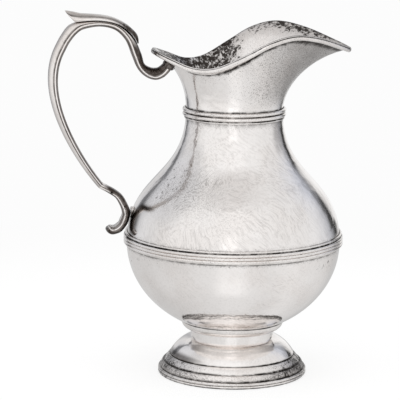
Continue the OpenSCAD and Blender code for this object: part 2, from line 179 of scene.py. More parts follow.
def eased(profile, radius, least_turn=28):
    """A closed profile with its sharp corners turned to small rounds and its long runs divided."""
    out = []
    for k, p in enumerate(profile):
        a, b = profile[k - 1] - p, profile[(k + 1) % len(profile)] - p
        la, lb = np.linalg.norm(a), np.linalg.norm(b)
        turn = math.degrees(math.acos(np.clip(-(a @ b) / (la * lb), -1, 1)))
        if turn < least_turn:
            out.append(p[None])
        else:
            out.append(fold(p + a * min(radius / la, 0.4), p, p + b * min(radius / lb, 0.4), 4))
    points = np.concatenate(out)
    fine = []
    for a, b in zip(points, np.roll(points, -1, axis=0)):
        parts = max(1, int(np.linalg.norm(b - a) / LONGEST_RUN))
        fine.append(line(a, b, parts)[:-1])
    return np.concatenate(fine)


# Pieces

# What a mesh tells its material: lines in grooves, mottled patches, specks, an even dark film, and rubbed places. The
# lines, patches and film also carry painted shade, painted shadow and painted reflections in places.
MASKS = ("recess", "patina", "speck", "dull", "scuff")


def piece(name, material, rings, masks, meets=False, poles=False, sharp=40):
    """One mesh that stands for the node of that name, from rings of points in millimetres.

    Rings that meet close into a loop, and others get a cap at each end. Each ring is closed too, except with
    poles, where it starts and ends on the axis.
    """
    rings = np.asarray(rings, float)
    n, m = rings.shape[:2]
    row, col = np.arange(n if meets else n - 1)[:, None], np.arange(m - 1 if poles else m)
    up, right = (row + 1) % n, (col + 1) % m
    quads = np.stack([row * m + col, row * m + right, up * m + right, up * m + col], -1)
    faces = quads.reshape(-1, 4).tolist()
    points = rings.reshape(-1, 3)
    values = {key: np.broadcast_to(masks.get(key, 0.0), (n, m)).reshape(-1) for key in MASKS}
    if not meets:
        for k, first in enumerate((0, (n - 1) * m)):
            ring = np.arange(first, first + m)
            faces += [[n * m + k, int(i), int(j)] for i, j in zip(ring, np.roll(ring, -1))]
            points = np.concatenate([points, points[ring].mean(0, keepdims=True)])
            values = {key: np.append(v, v[ring].mean()) for key, v in values.items()}
    mesh = bpy.data.meshes.new(name + "_silver")
    mesh.from_pydata((points * MM).tolist(), [], faces)
    for key, v in values.items():
        mesh.attributes.new(key, "FLOAT", "POINT").data.foreach_set("value", np.clip(v, 0, 1).astype(np.float32))
    work = bmesh.new()
    work.from_mesh(mesh)
    bmesh.ops.remove_doubles(work, verts=work.verts, dist=1e-7)
    bmesh.ops.recalc_face_normals(work, faces=work.faces)
    work.to_mesh(mesh)
    work.free()
    mesh.shade_smooth()
    mesh.set_sharp_from_angle(angle=math.radians(sharp))
    mesh.materials.append(material)
    obj = bpy.data.objects.new(name + "_silver", mesh)
    scene.collection.objects.link(obj)
    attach(obj, "root")
    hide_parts(name)


def turned(name, material, profile, grooves, poles=False, groove_shade=lambda a: 1.0, **masks):
    """A piece of revolution from a profile of radius and height.

    A groove is a radius, a height, a width and a depth of tone, which a painted shade changes round the piece. A mask
    is a number, or a function of the angle, the radius and the height.
    """
    r, z = profile[:, 0], profile[:, 1]
    recess = np.zeros(len(profile))
    for groove_r, groove_z, width, tone in grooves:
        recess = np.maximum(recess, tone * bell(np.hypot(r - groove_r, z - groove_z), width))
    a = np.arange(SIDES)[:, None] * 2 * math.pi / SIDES
    rings = np.stack([r * np.cos(a), r * np.sin(a), z + 0 * a], -1)
    made = {key: value(a, r, z) if callable(value) else value for key, value in masks.items()}
    made["recess"] = np.maximum(recess * groove_shade(a) + 0 * a, made.get("recess", 0.0))
    piece(name, material, rings, made, meets=True, poles=poles)


# Places as the camera sees them

def rightward(a):
    """1 at the right edge, nought at the front and back, -1 at the left edge."""
    return np.cos(a + YAW)


def camera_turn(a):
    """Degrees round the body from its left edge, towards the camera."""
    return np.degrees(np.arctan2(-np.sin(a + YAW), -np.cos(a + YAW)))


def flanks(low, high, share=1.0):
    """A mask with a share at the left and right edges, nought at the front and back."""
    return lambda a, r=0, z=0: share * smooth(low, high, np.abs(rightward(a))) + 0 * r


# Silver

# Colours of the dark film and of deep tarnish, which also paint shade, shadow and reflections where the masks put
# them
FILM_AND_SHADE_COLOUR = (0.060, 0.047, 0.040, 1)
TARNISH_AND_SHADE = (0.020, 0.017, 0.015, 1)


class Graph:
    """Short calls for nodes: a socket is linked, any other value is set."""

    def __init__(self, tree):
        self.tree = tree

    def add(self, kind, inputs, **settings):
        node = self.tree.nodes.new(kind)
        for key, value in settings.items():
            setattr(node, key, value)
        for key, value in inputs.items():
            if isinstance(value, bpy.types.NodeSocket):
                self.tree.links.new(value, node.inputs[key])
            else:
                node.inputs[key].default_value = value
        return node

    def place(self, kind):
        return self.add("ShaderNodeTexCoord", {}).outputs[kind]

    def math(self, kind, a, b=0.0, c=0.0):
        return self.add("ShaderNodeMath", {0: a, 1: b, 2: c}, operation=kind).outputs[0]

    def times(self, a, b):
        return self.math("MULTIPLY", a, b)

    def most(self, a, b):
        return self.math("MAXIMUM", a, b)

    def noise(self, where, scale, detail=3.0, rough=0.55):
        inputs = {"Vector": where, "Scale": scale, "Detail": detail, "Roughness": rough}
        return self.add("ShaderNodeTexNoise", inputs).outputs[0]

    def step(self, value, low, high, first=0.0, last=1.0):
        inputs = {0: value, 1: low, 2: high, 3: first, 4: last}
        return self.add("ShaderNodeMapRange", inputs, interpolation_type="SMOOTHSTEP").outputs[0]

    def blend(self, share, a, b):
        return self.add("ShaderNodeMix", {0: share, 6: a, 7: b}, data_type="RGBA").outputs[2]

    def placed(self, where, scale, turn):
        inputs = {"Vector": where, "Scale": tuple(1 / s for s in scale), "Rotation": turn}
        return self.add("ShaderNodeMapping", inputs, vector_type="TEXTURE").outputs[0]

    def mask(self, name):
        return self.add("ShaderNodeAttribute", {}, attribute_name=name).outputs["Fac"]

    def bump(self, height, strength, distance, normal=None):
        inputs = {"Height": height, "Strength": strength, "Distance": distance}
        if normal:
            inputs["Normal"] = normal
        return self.add("ShaderNodeBump", inputs).outputs[0]

    def glow(self, colour, strength=1.0):
        return self.add("ShaderNodeEmission", {"Color": colour, "Strength": strength}).outputs[0]


def shade(colour, share):
    return (*(share * v for v in colour), 1)


def wavering(g, where):
    """Places shifted by a slow noise, so that hammer marks and scratches don't lie in straight rows."""
    drift = g.add("ShaderNodeTexNoise", {"Vector": where, "Scale": 26.0, "Detail": 2.0}).outputs["Color"]
    drift = g.add("ShaderNodeVectorMath", {0: drift, "Scale": 0.03}, operation="SCALE").outputs[0]
    return g.add("ShaderNodeVectorMath", {0: where, 1: drift}, operation="ADD").outputs[0]


def scratches(g, waver, rubbed, scale, turn, low):
    """Fine lines from a stretched noise, more of them where the metal is rubbed."""
    streaks = g.noise(g.placed(waver, scale, turn), 1.0, 2)
    return g.step(g.math("MULTIPLY_ADD", rubbed, 0.075, streaks), low, low + 0.08)


def tarnish_and_shade_depth(g, where, broken):
    """Depth of the dark tarnish and painted shade: lines in grooves that break here and there, mottled patches, and
    specks.
    """
    breaks = g.noise(where, 250, 3, 0.6)
    mottle = g.noise(g.placed(where, (620, 620, 300), (0.2, 0.5, 0.0)), 1.0, 5, 0.70)
    fleck = g.noise(where, 1900, 3, 0.6)
    recess = g.times(g.mask("recess"), g.step(breaks, 0.34, 0.60, broken, 1.2))
    patina = g.mask("patina")
    edge = g.math("MULTIPLY_ADD", g.math("SUBTRACT", breaks, 0.5), 1.6, patina)
    edge = g.math("MULTIPLY_ADD", g.math("SUBTRACT", mottle, 0.5), 2.4, edge)
    patches = g.times(g.step(edge, 0.46, 0.94, 0.0, 0.92), g.step(patina, 0.02, 0.2))
    speck = g.mask("speck")
    dots = g.step(g.math("MULTIPLY_ADD", speck, 0.20, fleck), 0.62, 0.74, 0.0, 0.62)
    dots = g.times(dots, g.step(speck, 0.0, 0.1))
    return g.most(recess, g.most(patches, dots))


def silver(name, clean, worn, rough, hammer, strokes=0.08, stipple=0.0, broken=0.55):
    """Polished silver: planishing marks, fine scratches, worn tone, and tarnish and painted shade where the masks put
    it.
    """
    material = bpy.data.materials.new(name)
    material.use_nodes = True
    g = Graph(material.node_tree)
    shader = material.node_tree.nodes["Principled BSDF"]
    shader.inputs["Metallic"].default_value = 1.0
    where = g.place("Object")
    waver = wavering(g, where)
    blotch = g.noise(where, 34, 4)
    patch = g.noise(where, 110, 3)
    grain = g.noise(where, 640, 3, 0.6)

    rubbed = g.mask("scuff")
    lines = g.most(
        scratches(g, waver, rubbed, (2100, 2100, 90), (0.3, -0.75, 0.2), 0.60),
        scratches(g, waver, rubbed, (110, 1900, 1900), (0.2, -0.4, 0.3), 0.61),
    )
    scuffs = g.times(lines, g.most(rubbed, g.step(blotch, 0.44, 0.60)))
    brushed = g.noise(g.placed(waver, (760, 760, 60), (0.1, -0.65, 0.0)), 1.0, 2)
    brushed = g.times(g.step(brushed, 0.44, 0.64, 0.0, strokes), g.step(blotch, 0.36, 0.60, 0.40, 1.25))
    scuff_tone = g.math("MULTIPLY_ADD", scuffs, g.math("MULTIPLY_ADD", rubbed, 0.42, 0.30), brushed)
    dark = tarnish_and_shade_depth(g, where, broken)
    dull = g.mask("dull")

    tone = g.blend(g.step(blotch, 0.40, 0.68), shade(clean, 1.0), shade(worn, 1.0))
    tone = g.blend(g.step(grain, 0.42, 0.80, 0.0, 0.16), tone, shade(worn, 0.55))
    tone = g.blend(scuff_tone, tone, shade(worn, 0.5))
    tone = g.blend(g.step(dark, 0.0, 0.5), tone, shade(worn, 0.40))
    tone = g.blend(g.step(dark, 0.3, 1.0), tone, TARNISH_AND_SHADE)
    tone = g.blend(g.times(dull, g.step(patch, 0.25, 0.75, 0.9, 1.1)), tone, FILM_AND_SHADE_COLOUR)
    g.tree.links.new(tone, shader.inputs["Base Color"])

    gloss = g.step(blotch, 0.3, 0.7, rough * 0.8, rough * 1.25)
    gloss = g.math("MULTIPLY_ADD", scuffs, 0.12, gloss)
    gloss = g.math("MULTIPLY_ADD", g.most(dark, g.times(dull, 0.35)), 0.30, gloss)
    g.tree.links.new(gloss, shader.inputs["Roughness"])

    cells = g.add("ShaderNodeTexVoronoi", {"Vector": waver, "Scale": 150.0, "Smoothness": 0.6}, feature="SMOOTH_F1")
    dents = g.times(cells.outputs[0], g.step(blotch, 0.36, 0.64, 0.25, 1.3))
    normal = g.bump(dents, hammer, 0.0006)
    normal = g.bump(grain, 0.05, 0.0003, normal)
    normal = g.bump(lines, 0.05, 0.0002, normal)
    if stipple:
        pits = g.add("ShaderNodeTexVoronoi", {"Vector": where, "Scale": 760.0}, feature="F1")
        normal = g.bump(pits.outputs[0], stipple, 0.0006, normal)
    normal = g.bump(g.math("SUBTRACT", 1.0, dark), 0.20, 0.0003, normal)
    g.tree.links.new(normal, shader.inputs["Normal"])
    return material


SHEET = {"clean": (0.960, 0.930, 0.912), "worn": (0.925, 0.885, 0.860), "rough": 0.040}
raised = silver("raised_silver", **SHEET, hammer=0.22, strokes=0.24)
planished = silver("planished_silver", **SHEET, hammer=0.30, strokes=0.06)
moulding = silver("moulding_silver", (0.955, 0.922, 0.900), (0.90, 0.855, 0.825), 0.05, hammer=0.10)
stippled = silver("stippled_silver", (0.92, 0.88, 0.855), (0.82, 0.775, 0.745), 0.10, hammer=0.10, stipple=0.6)
cast = silver("cast_silver", (0.950, 0.912, 0.890), (0.875, 0.820, 0.785), 0.07, hammer=0.12, broken=0.85)


# Body

def bowl_point(a, inset):
    return np.stack([(BELLY_R - inset) * np.sin(a), BELLY_Z - (BOWL_DEPTH - inset) * np.cos(a)], -1)


SHOULDER_FRAME = np.array([
    [BELLY_R, BELLY_Z], [BELLY_R, BELLY_Z + SHOULDER_PULL_LOW],
    [NECK_R, NECK_Z - SHOULDER_PULL_TOP], [NECK_R, NECK_Z],
])


def shoulder_point(t, inset):
    t = np.asarray(t, float)[:, None]
    way = unit(bezier_slope(SHOULDER_FRAME, t))
    return bezier(SHOULDER_FRAME, t) - inset * np.stack([way[:, 1], -way[:, 0]], 1)


OUTER_SHOULDER = shoulder_point(np.linspace(0, 1, 2001), 0)


def body_r(z):
    """Outer radius of the body at a height from the bowl to the neck seam."""
    low = BELLY_R * np.sqrt(np.maximum(0, 1 - ((BELLY_Z - np.minimum(z, BELLY_Z)) / BOWL_DEPTH) ** 2))
    return np.where(np.asarray(z) < BELLY_Z, low, np.interp(z, OUTER_SHOULDER[:, 1], OUTER_SHOULDER[:, 0]))


def outside(r, z):
    """Whether a point of the body lies on its outer face."""
    return r > body_r(z) - 0.4 * WALL


def shoulder_painted_reflection(a, r, z):
    """Painted reflections: the handle's tail as a dark pool beside the lower seat and a trail that runs on from it;
    and painted shade on the right side of the neck.
    """
    turn = camera_turn(a)
    pool = 0.80 * between(turn, 2, 23, 2.5) * between(z, TAIL_Z - 12, TAIL_Z + 3, 2.5)
    trail_z = TAIL_Z + mix(3.5, 7.5, smooth(12, 20, turn))
    trail = 0.92 * between(turn, 12, 34, 4) * bell(z - trail_z, 1.7)
    side = 0.38 * between(rightward(a), 0.76, 0.95, 0.06) * smooth(NECK_Z - 32, NECK_Z - 16, z)
    return np.maximum(side, np.maximum(pool, trail)) * outside(r, z)


def build_bowl():
    def specks(a, r, z):
        seat = 0.12 * between(z, SEAT_Z, SEAT_Z + 3, 2)
        return seat + 0.75 * between(z, BAND_BOTTOM - 2.0, BAND_BOTTOM, 1.0) + 0 * a

    # Painted shade: mottled darkening just under the band at the left and right edges
    def dark_below(a, r, z):
        return flanks(0.45, 0.85, 0.27)(a, r) * between(z, BAND_BOTTOM - 11, BAND_BOTTOM, 4) * outside(r, z)

    down = np.radians(np.linspace(0, 90, BOWL_STEPS))
    middle = [[0, BELLY_Z - BOWL_DEPTH + WALL]]
    profile = np.concatenate([bowl_point(down, 0), bowl_point(down[::-2], WALL), middle])
    grooves = [(COLLAR_R, SEAT_Z, 0.4, 0.4), (BELLY_R, BAND_BOTTOM, 0.8, 0.7)]
    turned("bowl", planished, profile, grooves, poles=True, speck=specks, patina=dark_below)


def build_shoulder():
    def specks(a, r, z):
        band = 0.5 * between(z, BAND_TOP, BAND_TOP + 1.2, 0.8)
        return band + 0.3 * between(z, RING_BOTTOM - 4, NECK_Z, 2) + 0 * a

    def pits(a, r, z):
        return 0.30 * between(camera_turn(a), 24, 52, 8) * between(z, TAIL_Z + 14, TAIL_Z + 40, 8)

    def rubbed(a, r, z):
        return between(camera_turn(a), 24, 84, 12) * between(z, TAIL_Z + 4, TAIL_Z + 38, 12)

    t = np.linspace(0, 1, SHOULDER_STEPS)
    profile = join(shoulder_point(t, 0), shoulder_point(t[::-2], WALL), shoulder_point([0.0], WALL))
    grooves = [
        (body_r(BAND_TOP), BAND_TOP, 0.9, 0.34), (NECK_R, RING_BOTTOM, 0.8, 1.0),
        (NECK_R, RING_BOTTOM - 2.6, 0.5, 0.28),
    ]
    turned("shoulder", raised, profile, grooves, speck=specks, patina=pits, dull=shoulder_painted_reflection, scuff=rubbed)


def build_belly_band():
    heights = np.linspace(BAND_TOP, BAND_BOTTOM, 9)
    back = np.stack([body_r(heights) + SOLDER, heights], 1)
    reeds = [arc(BAND_STRIP_R, REEDS_BOTTOM + (k + 0.5) * REED, REED / 2, -90, 90) for k in range(REEDS)]
    fillet = arc(BAND_STRIP_R - 0.45, FILLET_BOTTOM + FILLET_H / 2, FILLET_H / 2, -50, 50, 6)
    profile = join([[BAND_STRIP_R, BAND_BOTTOM]], *reeds, [[BAND_STRIP_R, FILLET_BOTTOM]], fillet,
                   [[BAND_STRIP_R - 0.1, BAND_TOP]], back)
    grooves = [(BAND_STRIP_R, REEDS_BOTTOM + k * REED, 0.40, 0.17) for k in range(REEDS)]
    grooves += [
        (BAND_STRIP_R, FILLET_BOTTOM - 0.2, 0.60, 1.0), (BELLY_R + 0.3, BAND_BOTTOM, 0.5, 0.9),
        (BELLY_R + 0.1, BAND_TOP, 0.5, 0.4),
    ]
    # Painted shade: the groove lines are lighter in front and darker towards the left and right edges
    turned("belly_band", moulding, eased(profile, 0.2, 45), grooves, speck=0.3,
           groove_shade=lambda a: mix(0.75, 1.2, flanks(0.15, 0.75)(a)))


def build_neck_ring():
    beads = [arc(RING_STRIP_R, RING_TOP - BEAD / 2 - k * (BEAD + BEAD_GAP), BEAD / 2, -90, 90) for k in (1, 0)]
    fillet = arc(RING_STRIP_R - 0.45, RING_BOTTOM + 0.6, 0.6, -40, 40, 6)
    back = line((NECK_R + SOLDER, RING_TOP), (NECK_R + SOLDER, RING_BOTTOM), 6)
    profile = join([[RING_STRIP_R - 0.1, RING_BOTTOM]], fillet, [[RING_STRIP_R, RING_BOTTOM + 1.25]], *beads, back)
    grooves = [
        (RING_STRIP_R, RING_TOP - BEAD - BEAD_GAP / 2, 0.5, 0.75), (RING_STRIP_R, RING_BOTTOM + 1.5, 0.55, 1.1),
        (NECK_R + 0.3, RING_TOP, 0.5, 0.8), (NECK_R + 0.3, RING_BOTTOM, 0.6, 1.1),
    ]
    # Painted shade: the groove lines are lighter in front and darker towards the left and right edges
    turned("neck_ring", moulding, eased(profile, 0.2, 45), grooves, speck=0.3,
           groove_shade=lambda a: mix(0.7, 1.2, flanks(0.1, 0.6)(a)))


# Foot

def step_ring(outer_r, top_r, ledge_r, low, high, share):
    """A swelling ring of sheet from an outer edge up to a ledge, which the next ring stands on."""
    swell_r, swell_z = mix(top_r, outer_r, share), mix(low, high, share)
    outer = fold((outer_r, low), (swell_r, swell_z), (top_r, high))
    inner = fold((top_r - WALL, high - WALL), (swell_r - WALL, swell_z - WALL), (outer_r - WALL, low))
    return join(outer, [[ledge_r, high], [ledge_r, high - WALL]], inner)


def foot_groove_shade(a):
    """Painted shade: grooves of the foot are darkest at the flanks, and darker on the right."""
    return mix(0.45, 1.15, flanks(0.10, 0.65)(a)) + 0.5 * smooth(0.2, 0.7, rightward(a))


def low_line(a, r, z):
    """The dark line between the base ring and the border, lighter on the left."""
    seam = bell(np.hypot(r - BORDER_R, z - BORDER_Z), 1.1)
    return seam * mix(0.6, 1.0, smooth(-0.15, 0.25, rightward(a)))


# Partly tarnish, partly painted shade: patches heavier at the left and right edges and on the right
def border_patina(a, r, z):
    return np.minimum(flanks(0.50, 0.95, 0.56)(a, r) + 0.42 * smooth(0.22, 0.62, rightward(a)), 0.62)


# Partly film, partly painted shade: a darker film at the left and right edges and on the right
def border_film_and_shade(a, r, z):
    return flanks(0.65, 0.98, 0.25)(a, r) + 0.22 * smooth(0.3, 0.6, rightward(a))


def dome_painted_reflection(a, r, z):
    """Painted reflection on the dome: the stem's dark reflection in front of the stem, light in the middle, and a
    dark reflection low on the left flank.
    """
    across, front = r * rightward(a), -r * np.sin(a + YAW)
    ends = np.where(across > 0, 0.55 * smooth(9, 31, across), 0.62 * smooth(15, 29, -across))
    ends = ends * (1 - smooth(28.4, 30.2, np.abs(across))) * smooth(0, 6, front)
    top = ends * smooth(21.1, 22.1, z) * (1 - smooth(18.3, 19.4, z - 0.26 * front))
    left_top = mix(16.6, 19.4, smooth(0.4, 0.85, -across / r))
    left = 0.80 * smooth(0.35, 0.85, -across / r) * (1 - smooth(16.2, left_top, z))
    return np.maximum(top, left)


# Partly tarnish, partly painted shade: patches low on the dome at the left and right edges
def dome_patina(a, r, z):
    return flanks(0.78, 0.98, 0.34)(a, r) * (1 - smooth(16, 19, z))


def build_foot():
    fillet = RIM_H / 4
    inner_r = BORDER_R - RIM_W
    rounds = [arc(FOOT_R - fillet, (2 * k + 1) * fillet, fillet, -90, 90) for k in (0, 1)]
    profile = join([[inner_r, 0]], *rounds, [[inner_r, RIM_H]])
    # The second groove is a painted shadow: a dark line along the base ring's bottom edge, where it stands on the
    # floor. The patches and film at the left and right edges are partly tarnish, partly painted shade.
    grooves = [(FOOT_R - fillet, RIM_H / 2, 0.5, 0.8), (FOOT_R - 0.4, 0.35, 0.7, 1.0)]
    turned("foot_rim", moulding, eased(profile, 0.3, 50), grooves, speck=0.35, recess=low_line,
           patina=flanks(0.5, 0.95, 0.44), dull=flanks(0.6, 0.98, 0.25))

    profile = step_ring(BORDER_R, BORDER_TOP_R, BAND_R - 2 * WALL, BORDER_Z, BAND_Z, 0.75)
    turned("foot_border", stippled, eased(profile, 0.25), [(BAND_R, BAND_Z, 0.9, 1.0)], groove_shade=foot_groove_shade,
           recess=low_line, speck=lambda a, r, z: 0.22 + flanks(0.2, 0.7, 0.58)(a, r),
           patina=border_patina, dull=border_film_and_shade)

    profile = step_ring(BAND_R, BAND_TOP_R, DOME_R - 2 * WALL, BAND_Z, DOME_Z, 0.55)
    grooves = [(BAND_R, BAND_Z, 1.0, 1.0), (DOME_R, DOME_Z, 0.8, 0.8)]
    # Partly tarnish and film, partly painted shade: patches and film gather at the left and right edges
    turned("foot_band", moulding, eased(profile, 0.25), grooves, groove_shade=foot_groove_shade,
           speck=lambda a, r, z: 0.1 + flanks(0.3, 0.8, 0.55)(a, r),
           patina=flanks(0.5, 0.95, 0.60), dull=flanks(0.6, 0.98, 0.28))

    edge, top = np.array([[DOME_R, DOME_Z + WALL], [STEM_R, STEM_Z]])
    curve = fold(edge, mix(edge, top, np.array([0.41, 0.85])), top, 36)
    profile = join([[DOME_R, DOME_Z]], curve, [[BORE_R, STEM_Z]], curve[::-1] - WALL)
    turned("foot_dome", planished, eased(profile, 0.3), [(DOME_R, DOME_Z, 0.8, 0.8)], groove_shade=foot_groove_shade,
           patina=dome_patina, dull=dome_painted_reflection)

    profile = join(line((STEM_R, STEM_Z), (STEM_R, COLLAR_Z), 18), line((BORE_R, COLLAR_Z), (BORE_R, STEM_Z), 6))
    turned("foot_stem", planished, profile, [(STEM_R, COLLAR_Z, 0.6, 0.25)], groove_shade=foot_groove_shade)

    angles = np.arcsin(np.array([COLLAR_R, BORE_R]) / (BELLY_R + SOLDER))
    seat = bowl_point(np.linspace(*angles, 10), -SOLDER)
    swell = (COLLAR_R, mix(COLLAR_Z, SEAT_Z, 0.3))
    lip = fold((COLLAR_LOW_R, COLLAR_Z), swell, (COLLAR_R, SEAT_Z - SOLDER), 20)
    grooves = [(STEM_R, COLLAR_Z, 0.8, 0.3), (COLLAR_R, SEAT_Z, 0.4, 0.4)]
    turned("foot_collar", moulding, eased(join([[BORE_R, COLLAR_Z]], lip, seat), 0.3), grooves, groove_shade=foot_groove_shade,
           speck=0.12)


# Mouth and lip

# Half of the lip's edge, from the spout's tip to the tongue's tip: shares of reach, half width and rise
LIP_SHARES = np.array([
    [1.00, 0.00, 0.42], [0.90, 0.32, 0.57], [0.67, 0.70, 0.87], [0.44, 0.94, 1.00], [0.22, 1.00, 0.82],
    [0.00, 0.92, 0.42], [-0.31, 0.74, 0.06], [-0.56, 0.56, 0.02], [-0.79, 0.43, 0.22], [-0.95, 0.24, 0.38],
    [-1.00, 0.00, 0.42],
])
LIP_SPANS = 2 * (len(LIP_SHARES) - 1)
# Places round the lip, and how many rows of the table each is from the spout's tip
LIP_PLACES = np.arange(LIP_SPANS * LIP_PARTS) / LIP_PARTS
FROM_SPOUT = np.minimum(LIP_PLACES, LIP_SPANS - LIP_PLACES)[:, None]


def lip_rows():
    half = LIP_SHARES * [1, LIP_HALF_W, LIP_RISE] + [0, 0, DIP_Z]
    half[:, 0] *= np.where(half[:, 0] > 0, SPOUT_REACH, TONGUE_REACH)
    return np.concatenate([half, half[-2:0:-1] * [1, -1, 1]])


LIP_ROWS = lip_rows()


def lip_edge(place):
    k = np.floor(place).astype(int)
    return through(*(LIP_ROWS[(k + i) % LIP_SPANS] for i in (-1, 0, 1, 2)), (place - k)[:, None])


def neck_frame(place):
    """Corners of the wall's curve from the neck seam to the lip, as radius and height, and its angle."""
    p = lip_edge(place)
    reach = np.hypot(p[:, 0], p[:, 1])
    front = (1 + p[:, 0] / reach) / 2
    turn_r = mix(NECK_R, reach, mix(0.26, 0.40, front))
    turn_z = mix(NECK_Z, p[:, 2], mix(0.75, 0.89, front))
    still = np.ones_like(reach)
    corners = [
        (NECK_R * still, NECK_Z * still), (NECK_R * still, (NECK_Z + NECK_RISE) * still),
        (turn_r, turn_z), (reach, p[:, 2]),
    ]
    return [np.stack(c, -1)[:, None] for c in corners], np.arctan2(p[:, 1], p[:, 0])[:, None]


def swing(p, a):
    """Radius and height turned to a point at an angle."""
    return np.stack([p[..., 0] * np.cos(a), p[..., 0] * np.sin(a), p[..., 1]], -1)


def mouth_points(place, t, inset=0.0):
    """Points of the mouth's wall and its normals: places round the lip, shares from the seam up to the edge."""
    corners, a = neck_frame(place)
    t = np.broadcast_to(t, (len(place), np.shape(t)[-1]))[..., None]
    way = unit(bezier_slope(corners, t))
    normal = np.stack([way[..., 1], -way[..., 0]], -1)
    p = bezier(corners, t) - np.asarray(inset)[..., None] * normal
    return swing(p, a), swing(normal, a)


def rim_frames(place):
    """Direction out of the wall at the lip, and the run of one whole share of the wall there."""
    corners, a = neck_frame(place)
    along = unit(lip_edge(place + 0.02) - lip_edge(place - 0.02))
    up = unit(swing(bezier_slope(corners, np.ones((1, 1, 1)))[:, 0], a[:, 0]))
    out = unit(np.cross(along, up))
    rise = np.cross(out, along)
    run = 3 * np.linalg.norm(corners[3] - corners[2], axis=-1)[:, 0] * (rise * up).sum(-1)
    return out, run


def mouth_masks(t, drop, z, inner):
    """Tarnish inside the lip, at both tips and in the neck seam; darker patches under the rim wires, a painted shadow
    line just under them, and a painted reflection on the spout's outer face.
    """
    place = FROM_SPOUT
    back = 0.85 * between(place, 4.4, 9.8, 0.7) * between(t, 0.45, 1.2, 0.12)
    sides = mix(0.84, 0.68, smooth(2.4, 3.6, place)) * between(place, 1.0, 4.4, 0.8) * smooth(0.72, 0.97, t)
    spout = 0.7 * (1 - smooth(0.2, 0.9, place)) * smooth(0.7, 0.9, t)
    inside = np.maximum(back, np.maximum(sides, spout))
    tips = np.maximum(1 - smooth(0.15, 0.7, place), smooth(9.3, 9.9, place)) * smooth(0.8, 0.97, t)
    right = 1 - smooth(3.0, 6.5, place)
    # Painted shadow: a dark line just under the rim wires, heavier on the spout's side
    line_drop = RIM_WIRE_H + RIM_FILLET_W + mix(0.3, 1.6, right)
    under = mix(0.85, 1.3, right) * bell(drop - line_drop, mix(1.4, 2.6, right))
    dark_below = mix(0.34, 0.62, right) * between(drop, 3.5, mix(7.5, 10.0, right), 2.0)
    specks = 0.75 * between(drop, 4.5, 11, 4) * mix(0.35, 1.0, right)
    # Painted reflection: a dark film on the outer face near the spout
    spout_reflection = 0.52 * (1 - smooth(1.2, 4.8, place)) * between(t, 0.15, 1, 0.15)
    return {
        "recess": np.where(inner, 0.8 * smooth(0.975, 0.995, t), np.maximum(under, bell(z - RING_TOP, 0.8))),
        "patina": np.where(inner, inside, np.maximum(0.6 * tips, dark_below)),
        "speck": np.where(inner, 0.2, np.maximum(specks, 0.55 * right * between(t, 0.1, 1, 0.15))),
        "dull": np.where(inner, 0.06 + 0.30 * inside, spout_reflection),
    }


def build_mouth():
    """Up the outer face, over a round edge at the lip, and down the inner face."""
    _, run = rim_frames(LIP_PLACES)
    start = (1 - WALL / 2 / run)[:, None]
    turn = np.linspace(0, math.pi, 9)
    up, down = np.linspace(0, 0.985, 52), np.linspace(0.96, 0, 34)
    t = np.concatenate([up * start, start + (1 - start) * np.sin(turn), down * start], 1)
    inset = np.concatenate([0 * up, WALL * (1 - np.cos(turn)) / 2, 0 * down + WALL])
    rings, _ = mouth_points(LIP_PLACES, t, inset)
    masks = mouth_masks(t, (1 - t) * run[:, None], rings[..., 2], inset > WALL / 2)
    piece("mouth", planished, rings, masks, meets=True, sharp=60)


def rim_wire(name, drop, height, thickness, steps, under_bead_shadow):
    """A half-round wire on the outer face, a drop under the lip's edge. A share of painted shadow darkens its front
    part, as the shadow line under the wire above it.
    """
    out, run = rim_frames(LIP_PLACES)
    top = mouth_points(LIP_PLACES, (1 - drop / run)[:, None])[0]
    low = mouth_points(LIP_PLACES, (1 - (drop + height) / run)[:, None])[0]
    a = np.linspace(math.pi / 2, -math.pi / 2, steps)[None, :, None]
    rings = mix(low, top, (1 + np.sin(a)) / 2) + out[:, None] * (SOLDER + np.cos(a) * thickness)
    place = FROM_SPOUT
    tips = np.maximum(1 - smooth(0.15, 0.75, place), smooth(9.4, 9.8, place))
    edges = smooth(0.80, 0.97, np.abs(np.linspace(-1, 1, steps)))[None]
    front = under_bead_shadow * between(place, 0.4, 6.0, 0.6) * mix(1.0, 0.6, smooth(3.0, 4.5, place))
    masks = {"recess": np.maximum(edges, front), "patina": np.maximum(0.8 * tips, front), "speck": 0.3}
    piece(name, moulding, rings, masks, meets=True, sharp=70)


# Handle

# Half of the strap's section from the crown to the inner face: shares of the half width, and of crown or depth
STRAP_HALF = np.array([
    [0, 1], [0.22, 0.985], [0.42, 0.94], [0.60, 0.84], [0.74, 0.70], [0.84, 0.52], [0.91, 0.33], [0.92, 0.22],
    [0.89, 0.08], [0.84, 0], [0.87, -0.07], [0.95, -0.12], [1.00, -0.20], [1.005, -0.30], [1.00, -0.40],
    [0.94, -0.50], [0.86, -0.58], [0.82, -0.66], [0.78, -0.80], [0.74, -0.93], [0.66, -1], [0.3, -1], [0, -1],
])
# Path of the upper scroll: shares of reach and rise, then crown, depth and half width as shares of the strap
ARCH_SHARES = np.array([
    [0.00, 0.00, 0.60, 0.52, 0.38], [0.05, -0.12, 0.74, 0.48, 0.44], [0.11, -0.17, 0.84, 0.44, 0.48],
    [0.18, -0.11, 0.68, 0.46, 0.50], [0.243, 0.04, 0.46, 0.48, 0.50], [0.288, 0.29, 0.56, 0.50, 0.50],
    [0.353, 0.66, 0.42, 0.52, 0.50], [0.467, 0.92, 0.16, 0.52, 0.50], [0.626, 1.00, 0.16, 0.46, 0.50],
    [0.795, 0.95, 0.34, 0.50, 0.50], [0.88, 0.825, 0.74, 0.48, 0.50], [0.953, 0.618, 0.72, 0.48, 0.50],
    [1.00, 0.416, 0.72, 0.48, 0.50],
])
